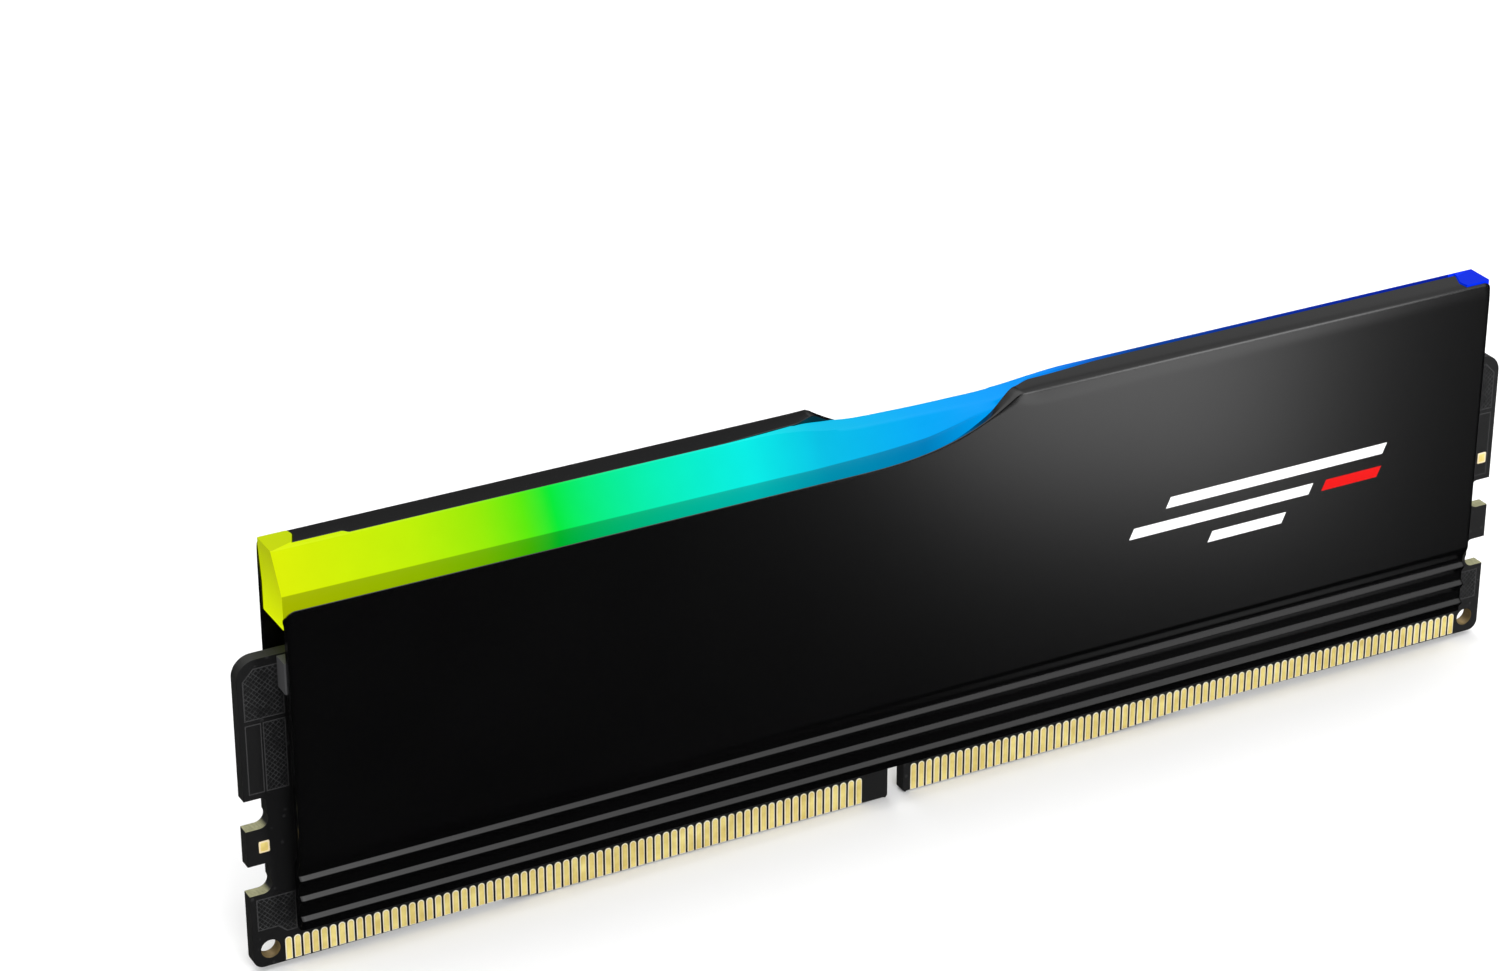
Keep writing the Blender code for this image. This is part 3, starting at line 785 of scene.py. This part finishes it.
def cover_top(x, size):
    """Height of the cover's upper edge: low on one half, then a curve up to the fold."""
    height = min(size.top, LOW_EDGE + RAMP_GAIN * max(0.0, x - RAMP_START) ** 3)
    from_end = min(max(0.0, abs(x) - (size.half - CORNER_RADIUS)), CORNER_RADIUS * 0.98)
    return height - CORNER_RADIUS + math.sqrt(CORNER_RADIUS**2 - from_end**2)


def flange_edge(x, size, step):
    """The y of the fold's free edge, or of the sheet's inner face where there is no fold."""
    wall = -size.outer + SHEET
    spread = sum(share * smooth(x, start, end) for start, end, share in FLANGE_RISES)
    return wall + (size.reach - wall) * spread - step * smooth(x, *FLANGE_STEP_AT)


def cover_section(x, size, step):
    """One section of the cover, with every edge of the sheet slightly rounded."""
    from_end = abs(x) - (size.half - END_ROUND)
    inset = END_ROUND - math.sqrt(END_ROUND**2 - min(max(from_end, 0.0), END_ROUND) ** 2)
    face = -size.outer + inset
    recess = -size.outer + RECESS + inset / 2
    inner = -size.outer + SHEET
    edge = cover_top(x, size)
    fold = smooth(x, *FOLD_RUNOUT)
    corners = [(inner + RECESS, size.foot, 0.12, 2), (recess, size.foot, 0.06, 2)]
    for height in RIB_HEIGHTS:
        corners.append((recess, height - RIB_SHOULDER - RIB_DEPTH, 0.05, 2))
        corners.append((recess - RIB_DEPTH, height - RIB_FLAT, 0.05, 2))
        corners.append((recess - RIB_DEPTH, height, 0.05, 2))
        corners.append((recess, height + RIB_SHOULDER, 0.05, 2))
    corners += [(recess, RECESS_TOP, 0.2, 3), (face, FACE_FOOT, 0.35, 3)]
    for *measures, steps in EDGE_PROFILE:
        depth, drop, reach = (plain + gain * fold for plain, gain in measures)
        corners.append((face + depth, edge - drop, reach, steps))
    free = flange_edge(x, size, step)
    lip = max(free, face + 0.75)
    under = min(1.0, (free - inner) / 0.3)
    chamfer = EDGE_CHAMFER * (1 - smooth(x, *EDGE_CHAMFER_RUNOUT))
    corners += [(lip, edge - chamfer, 0.1, 2), (lip, edge - SHEET, 0.08, 1)]
    corners.append((inner + 0.3 * under, edge - SHEET - 0.15 * (1 - under), 0.05, 1))
    corners.append((inner, edge - SHEET - 0.3, 0.05, 1))
    corners += [(inner, FACE_FOOT + 0.2, 0.2, 2), (inner + RECESS, RECESS_TOP + 0.2, 0.2, 2)]
    return [(x, y, z) for y, z in rounded(corners)]


def cover_stations(half):
    """Where the cover's sections stand along x: close together at its ends, ramp and fold step."""
    ends = [half - END_ROUND * share for share in (1.0, 0.75, 0.5, 0.3, 0.16, 0.06, 0.0)]
    corner = [half - CORNER_RADIUS * share for share in (1.0, 0.8, 0.62)]
    ramp = [RAMP_START + 0.45 * step for step in range(1, 68)]
    step = [FLANGE_STEP_AT[0] + 0.1 * index for index in range(7)]
    return sorted([-x for x in ends + corner] + [RAMP_START] + ramp + step + corner + ends)


def heat_spreader(name, node, material, step=0.0, turned=False):
    """The folded cover, with the window in its fold that the light bar's end block fills."""
    size = CoverSize()
    sections = [cover_section(x, size, step) for x in cover_stations(size.half)]
    cover = loft(name, sections, [material])
    beyond = size.half + 1
    start, middle, corner = ((x - CLEAR, y) for x, y in TAB_PLAN)
    wall = corner[1] - CLEAR
    window = [(start[0], 1.0), start, middle, (corner[0], wall), (beyond, wall), (beyond, 1.0)]
    cut(cover, prism("window", window, TAB_LEDGE, size.top + 1, 2, [material]))
    inner, above = -size.outer + SHEET, TAB_LEDGE + 0.01
    taper = [(inner - TAPER_DEPTH, above), (inner, TAB_TAPER_FOOT)]
    taper += [(1.0, TAB_TAPER_FOOT), (1.0, above)]
    cut(cover, prism("taper", taper, start[0], beyond, 0, [material]))
    if turned:
        for vertex in cover.data.vertices:
            vertex.co.x, vertex.co.y = -vertex.co.x, -vertex.co.y
    soften(cover, 35)
    install(cover, "anodised_black", node)


# ---------------------------------------------------------------- light bar


def curve_through(values, positions, x):
    """A smooth curve through the values at increasing positions, level beyond both ends."""
    if x <= positions[0]:
        return values[0]
    if x >= positions[-1]:
        return values[-1]
    index = max(i for i, at in enumerate(positions[:-1]) if at <= x)
    left, right = positions[index], positions[index + 1]
    slopes = []
    for i in (index, index + 1):
        if 0 < i < len(values) - 1:
            before = (values[i] - values[i - 1]) / (positions[i] - positions[i - 1])
            after = (values[i + 1] - values[i]) / (positions[i + 1] - positions[i])
            slopes.append(0.0 if before * after <= 0 else 2 * before * after / (before + after))
        else:
            slopes.append(0.0)
    span = right - left
    t = (x - left) / span
    low, high = values[index], values[index + 1]
    return (
        low * (2 * t**3 - 3 * t**2 + 1)
        + high * (3 * t**2 - 2 * t**3)
        + slopes[0] * span * (t**3 - 2 * t**2 + t)
        + slopes[1] * span * (t**3 - t**2)
    )


def bar_edges(x, size, step):
    """The light bar's three front edges at x, tucked under the cover's fold where there is one."""
    places, *edges = zip(*BAR_STATIONS)
    band, middle, crest = (
        [curve_through(values, places, x) for values in zip(*edge)] for edge in edges
    )
    retreat = step * smooth(x, *FLANGE_STEP_AT)
    middle[0] -= retreat
    crest[0] -= retreat
    if x > TUCK_START:
        clear = flange_edge(x, size, step) + CLEAR
        shelf = cover_top(min(x, FLANGE_STEP_AT[0]), size) - SHEET - CLEAR
        band[1] = shelf - 0.3
        middle[:] = max(middle[0], clear), shelf
        crest[0] = max(crest[0], clear)
    return band, middle, crest


def bar_section(x, size):
    """One section of the light bar: its front half, and the same turned half way round behind."""
    corners = []
    for side, at, step in ((1, x, 0.0), (-1, -x, REAR_FLANGE_STEP)):
        band, middle, crest = bar_edges(at, size, step)
        part = [
            (-BAR_FACE, BAR_FOOT, 0.15, 2),
            (*band, 0.22, 4),
            (*middle, 0.05, 2),
            (*crest, 0.12 if at > TUCK_FULL or crest[0] > -0.6 else 0.3, 4),
        ]
        part = [(side * y, z, reach, steps) for y, z, reach, steps in part]
        corners += part if side == 1 else part[::-1]
    return [(x, y, z) for y, z in rounded(corners)]


def bar_stations(half):
    """Where the light bar's sections stand along x."""
    marks = {half, half - 0.05, half - 0.15, 60.0, 57.0, 50.0, 40.0, 30.0}
    marks |= {0.4 * step for step in range(54)}
    marks |= {FLANGE_STEP_AT[0] + 0.1 * index for index in range(7)}
    return sorted(marks | {-mark for mark in marks})


def end_block(side, half, top, material):
    """The block that fills the window in a cover's fold."""
    start, middle, corner = TAB_PLAN
    plan = [
        (start[0], TAB_ROOT, 0.0, 1),
        (*start, 0.15, 2),
        (*middle, 0.3, 4),
        (*corner, 0.2, 4),
        (half, corner[1], 0.12, 3),
        (half, TAB_ROOT, 0.0, 1),
    ]
    plan = [(side * x, side * y) for x, y in rounded(plan)]
    cap = prism("tab", plan, TAB_LEDGE + CLEAR, top, 2, [material])
    web_top = TAB_LEDGE + WEB_OVERLAP
    web = [(TAB_ROOT, TAB_TAPER_FOOT), (-BAR_FACE, TAB_TAPER_FOOT)]
    web += [(-BAR_FACE - WEB_DEPTH, web_top), (TAB_ROOT, web_top)]
    low, high = sorted((side * start[0], side * half))
    cut(cap, prism("web", [(side * y, z) for y, z in web], low, high, 0, [material]), "UNION")
    return cap


def light_bar(material):
    """The glowing bar with its keel and its two end blocks."""
    low, high = (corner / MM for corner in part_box("light_diffuser"))
    size = CoverSize()
    bar = loft("light_bar", [bar_section(x, size) for x in bar_stations(high.x)], [material])
    wide, long = KEEL_HALF_WIDTH, KEEL_HALF_LENGTH
    keel = [(-wide, low.z), (wide, low.z), (wide, BAR_FOOT + 1), (-wide, BAR_FOOT + 1)]
    cut(bar, prism("keel", keel, -long, long, 0, [material]), "UNION")
    for side in (-1, 1):
        cut(bar, end_block(side, high.x, high.z, material), "UNION")
    soften(bar, 35)
    install(bar, "milky_diffuser", "light_diffuser")


# ---------------------------------------------------------------- stage


def add_light(name, place, aim, width, height, power):
    """A soft rectangular lamp at a place, turned to its aim."""
    data = bpy.data.lights.new(name, "AREA")
    data.shape = "RECTANGLE"
    data.size, data.size_y = width * MM, height * MM
    data.energy = power
    light = bpy.data.objects.new(name, data)
    light.location = Vector(place) * MM
    light.rotation_euler = (Vector(aim) - Vector(place)).to_track_quat("-Z", "Y").to_euler()
    light.visible_camera = False
    light.visible_glossy = name not in UNREFLECTED_LIGHTS
    bpy.context.scene.collection.objects.link(light)


def surround():
    """An even surround that is pale overhead and dark below."""
    world = bpy.data.worlds.new("surround")
    world.use_nodes = True
    tree = world.node_tree
    where = tree.nodes.new("ShaderNodeTexCoord")
    split = tree.nodes.new("ShaderNodeSeparateXYZ")
    ramp = tree.nodes.new("ShaderNodeValToRGB")
    shift = tree.nodes.new("ShaderNodeMath")
    shift.operation = "MULTIPLY_ADD"
    shift.inputs[1].default_value = 0.5
    shift.inputs[2].default_value = 0.5
    tree.links.new(where.outputs["Generated"], split.inputs[0])
    tree.links.new(split.outputs[2], shift.inputs[0])
    tree.links.new(shift.outputs[0], ramp.inputs[0])
    elements = ramp.color_ramp.elements
    while len(elements) < len(SURROUND_LEVELS):
        elements.new(0.5)
    for element, (at, level) in zip(elements, SURROUND_LEVELS):
        element.position = at
        element.color = (level, level, level, 1)
    back = tree.nodes["Background"]
    tree.links.new(ramp.outputs[0], back.inputs[0])
    back.inputs[1].default_value = SURROUND_STRENGTH
    bpy.context.scene.world = world


def pale_floor():
    """A wide pale floor that throws no reflection of its own."""
    n = Nodes("pale_floor")
    n.set("Base Color", n.blend(n.noise(0.02, 2.0), (0.9, 0.9, 0.9), (0.93, 0.93, 0.93)))
    n.set("Roughness", 0.9)
    n.set("Specular IOR Level", 0.0)
    half = FLOOR_HALF
    corners = [(-half, -half, 0.0), (half, -half, 0.0), (half, half, 0.0), (-half, half, 0.0)]
    floor = new_piece("floor", corners, [(0, 1, 2, 3)], [n.material])
    floor.visible_glossy = False
    floor.visible_shadow = False


def camera():
    """The camera, looking down at the module from its left front."""
    data = bpy.data.cameras.new("camera")
    data.sensor_width = SENSOR_WIDTH
    data.lens = CAMERA_LENS
    data.clip_start, data.clip_end = 0.01, 20.0
    made = bpy.data.objects.new("camera", data)
    made.location = Vector(CAMERA_PLACE) * MM
    made.rotation_euler = [math.radians(angle) for angle in CAMERA_TURN]
    bpy.context.scene.collection.objects.link(made)
    bpy.context.scene.camera = made


# ---------------------------------------------------------------- scene

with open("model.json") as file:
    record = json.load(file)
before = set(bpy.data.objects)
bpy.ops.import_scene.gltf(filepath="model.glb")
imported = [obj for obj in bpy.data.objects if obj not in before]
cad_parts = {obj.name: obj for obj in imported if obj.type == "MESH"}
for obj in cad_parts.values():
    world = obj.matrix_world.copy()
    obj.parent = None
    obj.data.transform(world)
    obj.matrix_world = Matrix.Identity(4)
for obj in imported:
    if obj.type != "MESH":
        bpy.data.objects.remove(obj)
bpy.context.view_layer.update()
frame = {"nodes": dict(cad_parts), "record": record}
nodes = frame["nodes"]

front_black = anodised_black("anodised_black_front", STRIPES)
black = anodised_black("anodised_black")
mask = solder_mask("solder_mask")
track = solder_mask("solder_mask_on_track", "track")
hatched = solder_mask("solder_mask_on_mesh", "mesh")
plain = solder_mask("solder_mask_on_copper", "plain")
laminate = bare_laminate()
plating = gold("gold_plating")
hole_wall = gold("hole_plating", (0.1, 0.07, 0.03), (0.3, 0.21, 0.08))
# Paler gold on the pads' rims: a painted highlight.
painted_highlight_pad_rim = gold("gold_rim_painted_highlight", (0.9, 0.72, 0.42), (1.0, 0.9, 0.65))
# Near-white gold on the fingers' rims: a painted highlight.
finger_rim_painted_highlight = gold("finger_rim_painted_highlight", (0.95, 0.85, 0.6), (1.0, 0.95, 0.8))

circuit_board((mask, laminate, hole_wall))
copper(track, hatched, plain)
for node in [name for name in nodes if "contacts" in name]:
    contact_row(node, plating, finger_rim_painted_highlight)
for node in ("left_gold_pad", "right_gold_pad"):
    gold_pad(node, plating, painted_highlight_pad_rim)
heat_spreader("front_cover", "front_heat_spreader", front_black)
heat_spreader("rear_cover", "rear_heat_spreader", black, REAR_FLANGE_STEP, turned=True)
light_bar(glowing_diffuser(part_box("light_diffuser")[1].x / MM))

# Each small part's two tones, and the scale and roughness of its texture, by the record's slot.
finishes = {
    "chip_package": ((0.011, 0.011, 0.012), (0.02, 0.02, 0.022), 5.0, (0.5, 0.7)),
    "ferrite": ((0.06, 0.06, 0.064), (0.13, 0.13, 0.135), 8.0, (0.6, 0.8)),
    "ceramic_body": ((0.3, 0.2, 0.12), (0.45, 0.33, 0.22), 6.0, (0.35, 0.5)),
    "led_package": ((0.7, 0.7, 0.66), (0.85, 0.85, 0.8), 2.0, (0.35, 0.45), 0.1),
    "thermal_pad": ((0.24, 0.3, 0.36), (0.36, 0.43, 0.5), 1.5, (0.75, 0.95)),
    "grey_foam_tape": ((0.045, 0.045, 0.048), (0.085, 0.085, 0.088), 7.0, (0.7, 0.9)),
}
finishes = {slot: moulded(slot, *looks) for slot, looks in finishes.items()}
for entry in frame["record"]["subparts"]:
    node = nodes[entry["node"]]
    if entry["material_slot"] in finishes:
        node.data.materials.clear()
        node.data.materials.append(finishes[entry["material_slot"]])

surround()
pale_floor()
for light in LIGHTS:
    add_light(*light)
camera()
bpy.context.scene.view_settings.view_transform = "Standard"
